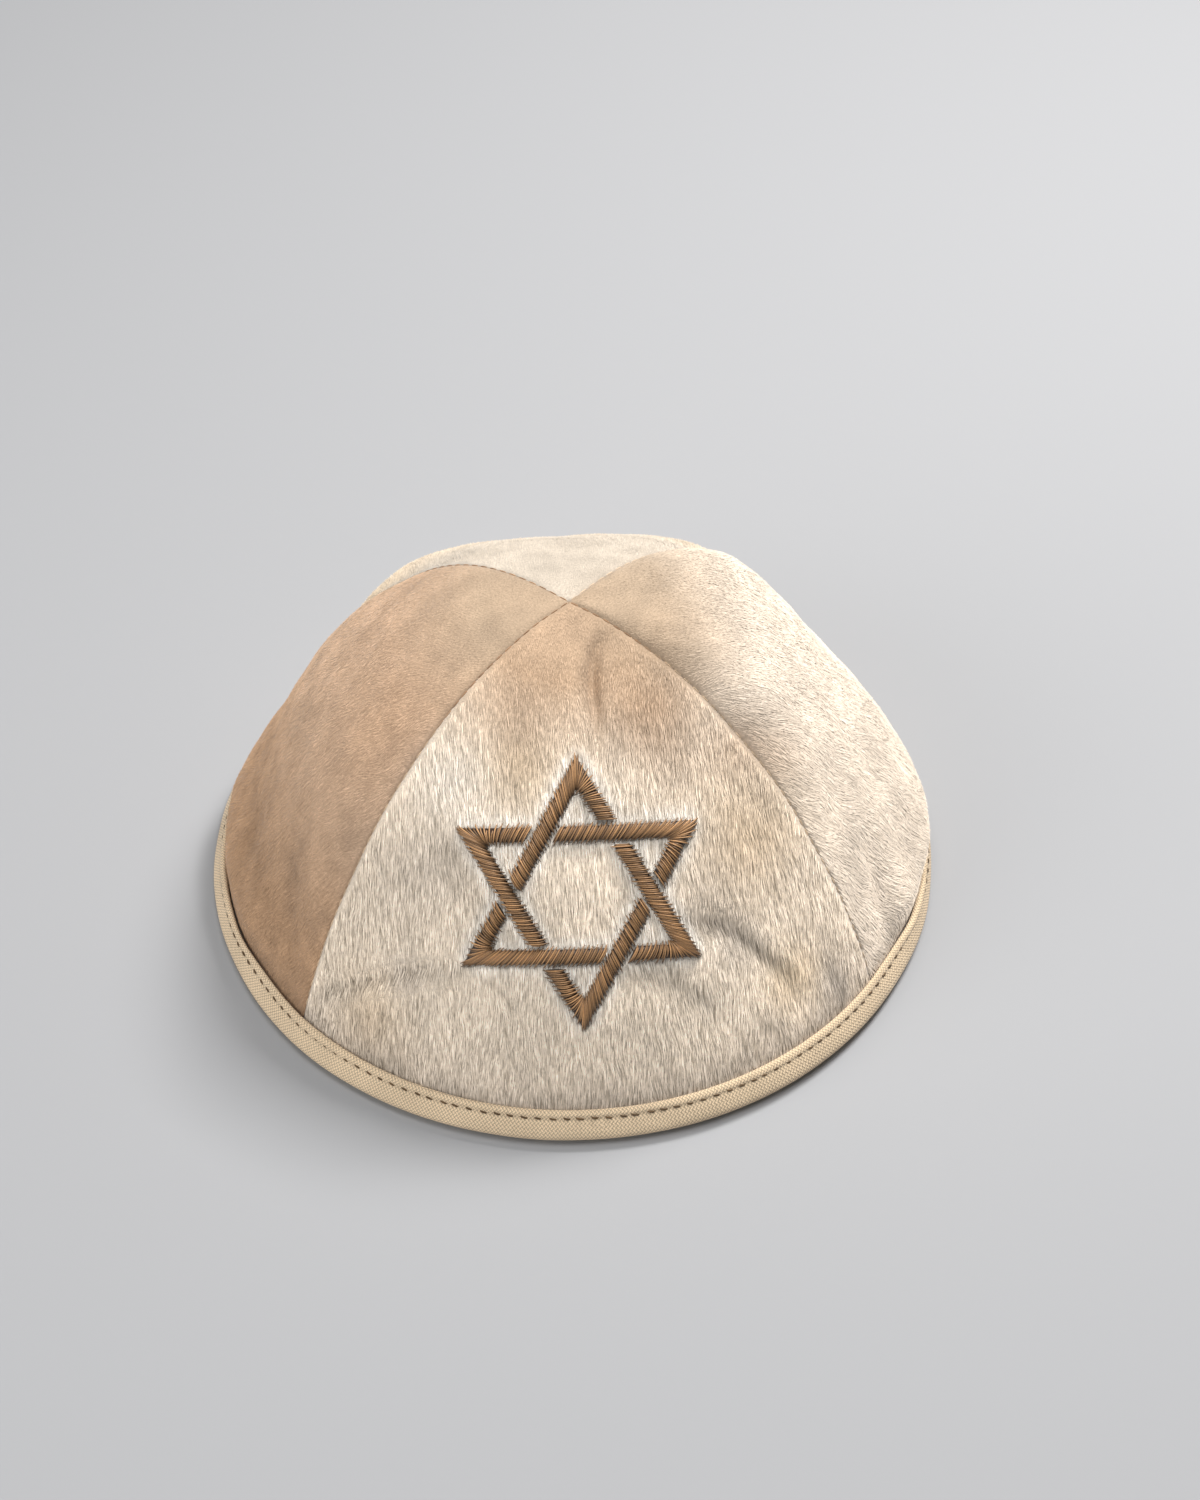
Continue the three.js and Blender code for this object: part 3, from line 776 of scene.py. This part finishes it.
# Tone of the pile: the panel's own run from crown to rim, with the patches blended in as bell curves, then
# painted shade in the creases and above the tape
def pileTone(panel, spots, along):
    run = np.array([linearColour(*tones[name]) for name in panelTones[panel["piece"]]])
    steps = np.linspace(0, 1, len(run))
    colour = np.stack([np.interp(along, steps, run[:, channel]) for channel in range(3)], -1)
    for azimuth, share, half, tone, strength in patches:
        near = np.linalg.norm(spots - plainSpot(np.array(azimuth), np.array(share)), axis=-1)
        blend = strength * bell(near / half)
        colour = mix(colour, linearColour(*tones[tone]), blend[..., None])
    shade = 1 + pile["mottle"] * panelField(panel, "mottle", spots, pile["mottleLength"])
    shade = shade + pile["fleck"] * panelField(panel, "fleck", spots, pile["fleckLength"])
    for fold in folds:  # painted shade darkens the pile along the creases, and a painted highlight lightens it where a fold's shade is below zero
        shade = shade * (1 - fold["shade"] * foldNear(fold, spots, pile["creaseShare"] * fold["half"]))
    # painted shade: the pile darkens by rimShade just above the tape, fading out over rimFade
    overRim = np.clip((spots[..., 2] - pile["rimHeight"]) / pile["rimFade"], 0, 1)
    colour = colour * (shade * mix(pile["rimShade"], 1, overRim))[..., None]
    if isStarred(panel):  # pale pile round the star
        halo = pile["halo"] * bell(np.maximum(starDistance(spots), 0) / pile["haloWidth"])
        colour = mix(colour, linearColour(*tones["white"]), halo[..., None])
    return colour


# Distance to the nearer seam: arc from the seam at that reach
def seamDistance(panel, across, along):
    return throughValues(cap["reach"], along) * halfAngle(panel) * (1 - np.abs(across))


# Plush cloth: cap surface moved by the offset, plus ripples that die out at seams and rim;
# the outer face also has a bell-shaped dip at the seams
def clothSpot(panel, across, along, offset):
    azimuth = mix(panel["from"], panel["to"], (across + 1) / 2)
    spots = capSpot(azimuth, along)
    beside = seamDistance(panel, across, along)
    calm = np.clip(beside / cloth["calmSeam"], 0, 1)
    calm = calm * np.clip((cloth["calmEnd"] - along) / cloth["calmFade"], 0, 1)
    move = offset + cloth["ripple"] * calm * panelField(panel, "ripple", spots, cloth["rippleLength"])
    if offset > -cap["wall"]:
        move = move - cloth["seamDip"] * bell(beside / cloth["seamDipWidth"])
    return spots + outwardWay(azimuth, along) * move[..., None]


def groundSpot(panel, across, along):  # outer face of the cloth, where the pile is rooted
    return clothSpot(panel, across, along, -cloth["sink"])


# Panel shell: rings of outer points from seam to seam and inner points back again, stacked from tip to hem
def panelShell(panel):
    rows, columns = panel["rows"], panel["columns"]
    along = np.linspace(tipAlong, hemAlong, rows + 1)[:, None]
    trim = 1 - cloth["seamGap"] / 2 / halfAngle(panel) / throughValues(cap["reach"], along)
    across = np.linspace(-1, 1, columns + 1)[None] * trim
    along = np.broadcast_to(along, across.shape)
    outer = groundSpot(panel, across, along)
    inner = clothSpot(panel, across, along, -cap["wall"])
    points = np.concatenate([outer, inner[:, ::-1]], 1)
    beside = seamDistance(panel, across, along)[..., None]
    # painted shade: the ground's tint darkens under the pile, and more within seamShadeWidth of a seam
    shade = mix(cloth["seamShade"], cloth["groundShade"], np.clip(beside / cloth["seamShadeWidth"], 0, 1))
    outerTint = pileTone(panel, outer, along) * shade
    innerTint = np.broadcast_to(linearColour(*cloth["backing"]), inner.shape)
    tints = np.concatenate([outerTint, innerTint], 1)
    ring = 2 * (columns + 1)
    faces, places = ringQuads(rows + 1, ring)
    places = inBand(places, *cloth["bodyBand"])
    isOuter = (faces % ring <= columns).all(1)
    j = np.arange(columns)
    tipFaces = np.stack([j, j + 1, ring - 2 - j, ring - 1 - j], 1)
    low, high = np.zeros(columns), np.ones(columns)
    endPlaces = cornerPlaces((j, low), (j + 1, low), (j + 1, high), (j, high)) / np.array([columns, 1])
    sets = [
        (faces[isOuter], places[isOuter]),
        (faces[~isOuter], places[~isOuter]),
        (tipFaces, inBand(endPlaces, *cloth["tipBand"])),
        (tipFaces[:, ::-1] + rows * ring, inBand(endPlaces, *cloth["hemBand"])[:, ::-1]),
    ]
    return makePart(points, tints, sets, (0, 1, 1, 1))


# Change of the ground for one unit across and one unit along, from small moves either way
def groundSlopes(panel, across, along):
    a, b = pile["acrossStep"], pile["alongStep"]
    side = groundSpot(panel, across + a, along) - groundSpot(panel, across - a, along)
    down = groundSpot(panel, across, along + b) - groundSpot(panel, across, along - b)
    return side / (2 * a), down / (2 * b)


# Strands that reach a bar of the star stop at its edge
def cutAtBars(root, rise, full):
    length = full
    for share in pile["cutShares"]:
        onBar = starDistance(root + rise * length[:, None]) < -pile["barOverlap"]
        length = np.where(onBar, full * share, length)
    return length


# Brush strokes: a field drawn out along the nap, waving a little from side to side
def brushStrokes(panel, spots, level, downward):
    waver = pile["strokeWave"] * panelField(panel, "waver", spots, pile["waverLength"])
    sideways = spots @ level + waver
    laid = np.stack([sideways / pile["strokeWide"], downward / pile["strokeLong"], 0 * downward], -1)
    return pile["stroke"] * panelField(panel, "stroke", laid, 1.0)


# Place a move further over the cloth: the move split into the two slopes, held inside seams and hem
def placeBeyond(panel, across, along, slopes, move):
    side, down = slopes
    ss, sd, dd = (side * side).sum(1), (side * down).sum(1), (down * down).sum(1)
    ms, md = (move * side).sum(1), (move * down).sum(1)
    spread = ss * dd - sd * sd
    edge = 1 - pile["seamMargin"] / halfAngle(panel) / throughValues(cap["reach"], along)
    beyond = np.clip(across + (ms * dd - md * sd) / spread, -edge, edge)
    return beyond, np.minimum(along + (md * ss - ms * sd) / spread, hemAlong)


# Pile: many tapering strands, each a flat three-sided spike that lies down the panel's nap
def panelPile(panel):
    draw = np.random.default_rng(panel["seed"])
    n = np.arange(panel["strands"])
    jitter = draw.uniform(0, pile["spreadJitter"], len(n))
    across = 2 * ((n * pile["acrossSpread"] + jitter) % 1) - 1
    steps = np.linspace(tipAlong, hemAlong, pile["napSteps"])
    reach, height = seamSpot(np.array(0.0), steps)
    stride = np.hypot(np.gradient(reach), np.gradient(height))
    filled = np.cumsum(reach * stride)
    along = np.interp((n * pile["alongSpread"]) % 1, filled / filled[-1], steps)
    spots = groundSpot(panel, across, along)
    keep = (spots[:, 2] > pile["rimHeight"]) & (seamDistance(panel, across, along) > pile["seamMargin"])
    if isStarred(panel):
        keep &= starDistance(spots) > -pile["underBar"]
    across, along, spots = across[keep], along[keep], spots[keep]
    count = len(across)
    slopes = groundSlopes(panel, across, along)
    normal = unit(np.cross(slopes[1], slopes[0]))
    middle = np.radians((panel["from"] + panel["to"]) / 2)
    level = np.array([np.cos(middle), np.sin(middle), 0])
    nap = unit(np.cross(level, normal))
    # nap turned about the normal by a slow swirl and a strand's own jitter
    turn = np.radians(panel["swirl"] * panelField(panel, "swirl", spots, pile["swirlLength"]))
    turn += np.radians(pile["jitterTurn"]) * draw.normal(size=count)
    way = nap * np.cos(turn)[:, None] + np.cross(normal, nap) * np.sin(turn)[:, None]
    beside = np.cross(normal, way)
    away = np.clip((along - pile["smoothFrom"]) / pile["smoothFade"], 0, 1)  # from the crown point
    low = mix(pile["smoothLow"], 1.0, away)
    lift = np.radians(panel["lift"] * draw.uniform(*pile["liftSpread"], count) * low)
    length = panel["length"] * draw.uniform(*pile["lengthSpread"], count) * low
    rise = way * np.cos(lift)[:, None] + normal * np.sin(lift)[:, None]
    root = spots - normal * pile["rootDepth"]
    if isStarred(panel):
        length = cutAtBars(root, rise, length)
    strokes = brushStrokes(panel, spots, level, np.interp(along, steps, np.cumsum(stride)))
    contrast = panel["contrast"] * mix(pile["smoothContrast"], 1.0, away)
    bright = 1 + contrast * (strokes + pile["strandSpread"] * draw.normal(size=count))
    bright = np.clip(bright, *pile["brightRange"])[:, None] ** np.array(pile["warmth"])
    # tip a strand's length further over the cloth, so strands follow creases and stop at seams
    tipAcross, tipDown = placeBeyond(panel, across, along, slopes, way * length[:, None])
    tipFoot = groundSpot(panel, tipAcross, tipDown)
    tip = tipFoot + normal * (pile["tipClear"] + length * np.sin(lift))[:, None]
    half = beside * (panel["width"] * draw.uniform(*pile["widthSpread"], count))[:, None] / 2
    points = np.stack([root - half, root + half, root + normal * pile["thick"], tip], 1)
    # painted shade and light along each strand: darker root points by rootShade, brighter tips by tipShade
    rootTone = pileTone(panel, spots, along) * bright
    tipTone = pileTone(panel, tipFoot, tipDown) * bright * pile["tipShade"]
    lowTone = rootTone * pile["rootShade"]
    tints = np.stack([lowTone, lowTone, rootTone, tipTone], 1)
    faces = np.array([(0, 2, 1), (1, 2, 3), (0, 3, 2), (0, 1, 3)])
    flat = np.array([(0.0, 0.1), (1.0, 0.1), (0.5, 0.0), (0.5, 1.0)])  # spike laid out on the map
    # strands shade like the cloth they lie on, turned a little upward, and rounded to either side
    tilt = pile["roundness"] * beside
    fuzzy = unit(normal + panel["upward"] * np.array([0, 0, 1]))
    normals = unit(np.stack([fuzzy - tilt, fuzzy + tilt, fuzzy, fuzzy], 1))
    spikes = copyFaces(faces, flat[faces], count, len(flat), (0, 0, 1, 1))
    return makePart(points, tints, [spikes]), normals


def rideRoot(piece, slotName, *nodes):
    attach(piece, "root")
    if nodes:
        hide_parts(*nodes)


pileFinish, groundFinish, backingFinish = pileMaterial(), groundMaterial(), backingMaterial()
for panel in panels:
    ground = putMesh(panel["piece"], [panelShell(panel)], [groundFinish, backingFinish])
    rideRoot(ground, "plush", panel["node"])
    spikes, normals = panelPile(panel)
    strands = putMesh(panel["piece"].replace("plush", "pile"), [spikes], [pileFinish], normals)
    rideRoot(strands, "plush")
print("plush panels ready")


# Rim tape

tape = {
    # section in order round it: height above the rim plane, stand-out from the cloth's outer face
    "height": [1.2, 7.1, 7.5, 7.0, 5.0, 3.4, 2.2, 1.1, 0, 0, 0.9, 7.4, 7.9, 7.4, 1.2],
    "out": [0.1, 0.1, 0.6, 1.35, 2.4, 3.1, 3.0, 1.4, -0.9, -2.8, -3.6, -3.1, -2.6, -2.0, -2.0],
    "sectionPoints": 96, "segments": 420, "flat": (0.023, 0.515), "middleOut": 1.4,
    "outerFrom": 0.7, "outerFade": 0.3,  # stand-out where the outer face begins
    "groove": 0.16, "grooveHalf": 0.4, "pucker": 0.06, "puckerHalf": 1.6,
    "bead": 0.2, "beadHeight": 6.85, "beadHalf": 0.4,
    "wave": 0.09, "waveLength": 22.0, "waveRise": 4.0, "waveSeed": 5,
    "weavePitch": 0.6, "beige": (232, 208, 175),
    # grooveShade, shadeHalf and shadeOut set the painted shade along the stitch groove: its share, half width
    # and the stand-outs it spans
    "grooveShade": 0.82, "shadeHalf": 0.3, "shadeOut": (0.3, 2.3),
    "stitches": 168, "stitchHeight": 6.2, "stitchSeed": 21, "stitchTone": (96, 74, 48),
    "stitchOuts": (1.62, -3.2), "stitchLong": 1.7, "stitchWidth": 0.5, "stitchThick": 0.42,
    "stitchTurn": 0.12, "stitchStray": 0.05, "stitchSlant": 0.14, "stitchSink": 0.28, "stitchLean": 0.2,
    "longSpread": (0.88, 1.12), "toneSpread": (0.75, 1.2), "stitchTaper": [0.5, 0.9, 1, 0.9, 0.5],
}

stitchBow = np.array([-1, -0.6, 0, 0.6, 1])  # stations of a sewn stitch from end to end


# Closed outline with its corners cut twice at a quarter of each side, then spaced evenly along its length
def roundedOutline(first, second, count):
    line = np.stack([first, second], -1)
    for _ in range(2):
        after = np.roll(line, -1, 0)
        line = np.stack([mix(line, after, 0.25), mix(line, after, 0.75)], 1).reshape(-1, 2)
    line = np.concatenate([line, line[:1]])
    run = runAlong(line)
    even = np.linspace(0, run[-1], count, endpoint=False)
    return np.interp(even, run, line[:, 0]), np.interp(even, run, line[:, 1]), run[-1]


# Tape surface: cloth reach at that height plus the stand-out, less a bell-shaped groove along the stitches,
# plus a bell-shaped bead above it, a pucker that swells between stitches and a slow wave of the edge
def tapeSpot(azimuth, height, out):
    fromLine = height - tape["stitchHeight"]
    groove = tape["groove"] * bell(fromLine / tape["grooveHalf"])
    bead = tape["bead"] * bell((height - tape["beadHeight"]) / tape["beadHalf"])
    pucker = tape["pucker"] * np.cos(np.radians(azimuth) * tape["stitches"])
    pucker = pucker * bell(fromLine / tape["puckerHalf"])
    reach = clothReach(azimuth, height)
    wave = tape["wave"] * waveField(turned(reach, 0 * reach, azimuth), tape["waveLength"], tape["waveSeed"])
    wave = wave * np.clip(height / tape["waveRise"], 0, 1)
    isOuter = np.clip((out - tape["outerFrom"]) / tape["outerFade"], 0, 1)
    return turned(reach + out + isOuter * (pucker + wave + bead - groove), height, azimuth)


def makeTape():
    height, out, roundMm = roundedOutline(tape["height"], tape["out"], tape["sectionPoints"])
    azimuth = np.linspace(0, 360, tape["segments"], endpoint=False)[:, None]
    points = tapeSpot(azimuth, height[None], np.broadcast_to(out[None], (tape["segments"], len(out))))
    faces, places = ringQuads(tape["segments"], tape["sectionPoints"], wraps=True)
    # painted shade: the tint darkens along the stitch groove on the tape's outer face
    isShaded = (out > tape["shadeOut"][0]) & (out < tape["shadeOut"][1])
    grooveShadeShare = bell((height - tape["stitchHeight"]) / tape["shadeHalf"]) * isShaded
    tints = linearColour(*tape["beige"]) * mix(1, tape["grooveShade"], grooveShadeShare)[:, None]
    lengthMm = 2 * np.pi * (cap["reach"][-1] + tape["middleOut"])
    body = makePart(points, tints, [(faces[:, ::-1], places[:, ::-1])])
    piece = putMesh("rim_tape", [body], [tapeMaterial(lengthMm, roundMm, tape["weavePitch"])])
    rideRoot(piece, "binding_tape", "rim_binding")
    return piece


# Stitches: short bowed tubes in the groove, ends drawn into the tape, outside and inside the rim
def makeRimStitches():
    draw = np.random.default_rng(tape["stitchSeed"])
    n = tape["stitches"]
    centre = 360 * (np.arange(n) + 0.5) / n + draw.normal(0, tape["stitchTurn"], n)
    half = np.degrees(tape["stitchLong"] / 2 / cap["reach"][-1]) * draw.uniform(*tape["longSpread"], n)
    azimuth = centre[:, None] + half[:, None] * stitchBow
    tints = linearColour(*tape["stitchTone"]) * draw.uniform(*tape["toneSpread"], (n, 1, 1))
    tints = np.broadcast_to(tints, (n, len(stitchBow), 3))
    areas = [(0, 0, 0.5, 1), (0.5, 0, 1, 1)]
    parts = []
    for out, sense, area in zip(tape["stitchOuts"], (1, -1), areas):
        stray = draw.normal(0, tape["stitchStray"], n)[:, None]
        height = tape["stitchHeight"] + stray - tape["stitchSlant"] * stitchBow
        reach = clothReach(azimuth, height) + out - sense * tape["stitchSink"] * stitchBow ** 4
        paths = turned(reach, height, azimuth)
        ups = sense * turned(np.ones_like(azimuth), tape["stitchLean"], azimuth)
        size = (tape["stitchWidth"], tape["stitchThick"], np.array(tape["stitchTaper"]))
        parts.append(threadTubes(paths, ups, *size, tints, area))
    piece = putMesh("rim_stitches", parts, [threadMaterial("stitchThread", roughness=0.6, specular=0.3)])
    rideRoot(piece, "embroidery_thread")
    return piece


rimTape = makeTape()
rimStitches = makeRimStitches()
print("rim ready")


# Seam thread: a row of stitches down each seam valley

seam = {
    "pitch": 2.7, "long": 2.2, "width": 0.24, "thick": 0.24, "taper": [0.6, 0.95, 1, 0.95, 0.6],
    "depth": 0.58, "endSink": 0.25, "endAlong": 0.915, "steps": 400, "seed": 25,
    "dark": (168, 132, 100), "pale": (220, 196, 166), "toneSpread": (0.75, 1.15), "fade": 0.12,
    # dark above and pale below, on the seam where each panel begins
    "fadeFrom": {"front_plush": 0.32, "right_plush": 0.17, "back_plush": -0.2, "left_plush": 0.4},
}


def makeSeamStitches():
    draw = np.random.default_rng(seam["seed"])
    steps = np.linspace(tipAlong, seam["endAlong"], seam["steps"])
    offset = -seam["depth"] - seam["endSink"] * stitchBow ** 4
    paths, ups, pale = [], [], []
    for panel in panels:
        run = runAlong(capSpot(panel["from"], steps))
        centres = np.arange(seam["pitch"] / 2, run[-1] - seam["pitch"] / 2, seam["pitch"])
        along = np.interp(centres[:, None] + seam["long"] / 2 * stitchBow, run, steps)
        azimuth = np.full(along.shape, float(panel["from"]))
        away = outwardWay(azimuth, along)
        paths.append(capSpot(azimuth, along) + away * offset[None, :, None])
        ups.append(away)
        pale.append(np.clip((along - seam["fadeFrom"][panel["piece"]]) / seam["fade"], 0, 1))
    paths, ups, pale = np.concatenate(paths), np.concatenate(ups), np.concatenate(pale)
    tints = mix(linearColour(*seam["dark"]), linearColour(*seam["pale"]), pale[..., None])
    tints = tints * draw.uniform(*seam["toneSpread"], (len(paths), 1, 1))
    size = (seam["width"], seam["thick"], np.array(seam["taper"]))
    part = threadTubes(paths, ups, *size, tints, (0, 0, 1, 1))
    piece = putMesh("seam_stitches", [part], [threadMaterial("seamThread", roughness=0.7, specular=0.2)])
    rideRoot(piece, "embroidery_thread")


makeSeamStitches()
print("seams ready")


# Star threads: satin stitches laid side by side across each bar, over a darker bed whose near-black tone is
# painted shade in the gaps between them

# Height over the cloth along a stitch: sole + (crown - sole) (1 - |s|^2.4), s from -1 to 1 end to end
def barHeight(s, crown):
    return star["sole"] + (crown - star["sole"]) * (1 - np.abs(s) ** 2.4)


# Paths across a bar: t is -1 at the bar's inner edge and 1 at its outer edge
def starPaths(middles, halves, t, s, crown):
    places = middles[:, None] + halves[:, None] * t[..., None]
    azimuth, along = clothUnder(places)
    away = outwardWay(azimuth, along)
    return capSpot(azimuth, along) + away * barHeight(s, crown)[..., None], away


def onLegs(stops, values):  # values between a point's long end (0), corner (1) and short end (2)
    return np.stack([np.interp(stops, [0, 1, 2], values[:, axis]) for axis in (0, 1)], -1)


def satinThreads(number, middles, halves):
    draw = np.random.default_rng(star["seed"] + number)
    legs = np.linalg.norm(np.diff(middles, axis=0), axis=1)
    counts = np.round(legs / star["pitch"]).astype(int)
    place = np.concatenate([np.linspace(0, 1, counts[0] + 1), np.linspace(1, 2, counts[1] + 1)[1:]])
    n = len(place)
    jitter = draw.normal(0, star["pitchJitter"], n) * star["pitch"] / legs[(place > 1).astype(int)]
    place = np.clip(place + jitter, 0, 2)
    # stitches keep square to the bar and fan out at the corner
    turnIn = (1 - np.abs(place - 1)) ** star["fan"]
    ends = np.where((place < 1)[:, None], halves[0], halves[2])
    half = mix(ends, halves[1], turnIn[:, None])
    reach = np.linalg.norm(half, axis=1)
    # every second stitch runs longer, so the edges are toothed
    isSecond = np.arange(n) % 2
    tooth = star["tooth"] * isSecond
    inner = -1 - (tooth + draw.normal(0, star["ragged"], n)) / reach
    outer = 1 + (tooth + draw.normal(0, star["ragged"], n)) / reach
    t = mix(inner[:, None], outer[:, None], np.linspace(0, 1, star["stations"])[None])
    crown = star["crown"] + draw.normal(0, star["crownSpread"], (n, 1))
    paths, ups = starPaths(onLegs(place, middles), half, t, np.linspace(-1, 1, star["stations"])[None], crown)
    # painted shade: darker towards the bar's lower edge, and just at its upper edge
    low = -t * np.sign(half[:, 1:])
    edges = star["lowShade"] * np.clip(low, 0, 1) ** 1.7 + star["highShade"] * np.clip(-low, 0, 1) ** 5
    shade = np.array(star["pairShade"])[isSecond][:, None] * draw.uniform(*star["threadShade"], (n, 1))
    tints = linearColour(*star["gold"]) * (shade * (1 - edges))[..., None]
    taper = np.ones(star["stations"])
    taper[[0, -1]] = star["endTaper"]
    return threadTubes(paths, ups, star["threadWidth"], star["threadThick"], taper, tints, (0, 0, 1, 0.9))


# Bed: one tube of flat rings along the bar, lower than the threads, with its sole under the cloth; its
# near-black tint is painted shade seen between the threads
def satinBed(middles, halves):
    rings, across = star["bedRings"], star["bedAcross"]
    stops = np.linspace(0, 2, rings)
    t = np.broadcast_to(np.linspace(-star["bedShare"], star["bedShare"], across), (rings, across))
    crown = star["crown"] - star["bedSink"]
    top, away = starPaths(onLegs(stops, middles), onLegs(stops, halves), t, t, crown)
    bottom = top - away * (barHeight(t, crown) + star["bedDepth"])[..., None]
    points = np.concatenate([top, bottom[:, ::-1]], 1)
    ring = 2 * across
    faces, places = ringQuads(rings, ring)
    ends = [endFan(0, ring, True), endFan((rings - 1) * ring, ring, False)]
    sets = [(faces[:, ::-1], places[:, ::-1])] + ends
    sets = [(corners, inBand(spots, 0.905, 0.995)) for corners, spots in sets]
    return makePart(points, linearColour(*star["bedTone"]), sets)


satinFinish = threadMaterial("satinThread", roughness=0.42, specular=0.45)
for k, (middles, halves) in enumerate(starPoints):
    parts = [satinThreads(k + 1, middles, halves), satinBed(middles, halves)]
    piece = putMesh("star_satin_%d" % (k + 1), parts, [satinFinish])
    rideRoot(piece, "embroidery_thread", "star_point_%d" % (k + 1))
print("star ready")
